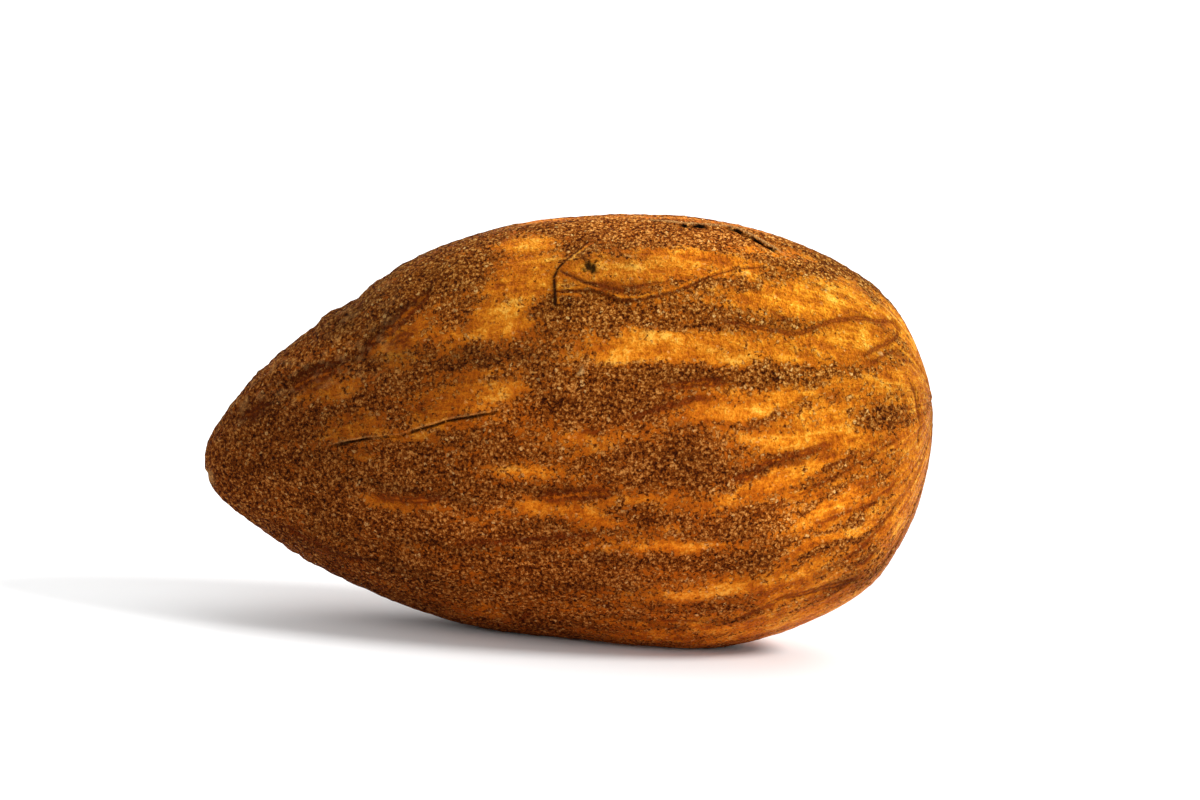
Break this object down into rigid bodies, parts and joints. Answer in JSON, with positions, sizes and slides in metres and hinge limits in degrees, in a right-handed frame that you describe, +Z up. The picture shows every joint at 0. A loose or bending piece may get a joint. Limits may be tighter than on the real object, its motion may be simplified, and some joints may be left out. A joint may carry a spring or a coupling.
{
  "type": "almond",
  "caption": "Whole shelled almond kernel in its brown, wrinkled, scurfy skin: a flat teardrop seed with a pointed tip and a rounded blunt end, standing on a flat stretch of its edge.",
  "frame": {"origin": "on the surface that the kernel stands on, under the middle of its box", "axes": "+Z up from the surface, +X along the kernel from the pointed tip to the blunt end, -Y out of one broad face"},
  "size_m": [0.0238, 0.0088, 0.0141],
  "materials": {
    "seed_skin": "dry matte brown seed coat with amber streaks and a fine scurf"
  },
  "bodies": {
    "root": {"kernel": "seed_skin"}
  },
  "joints": []
}
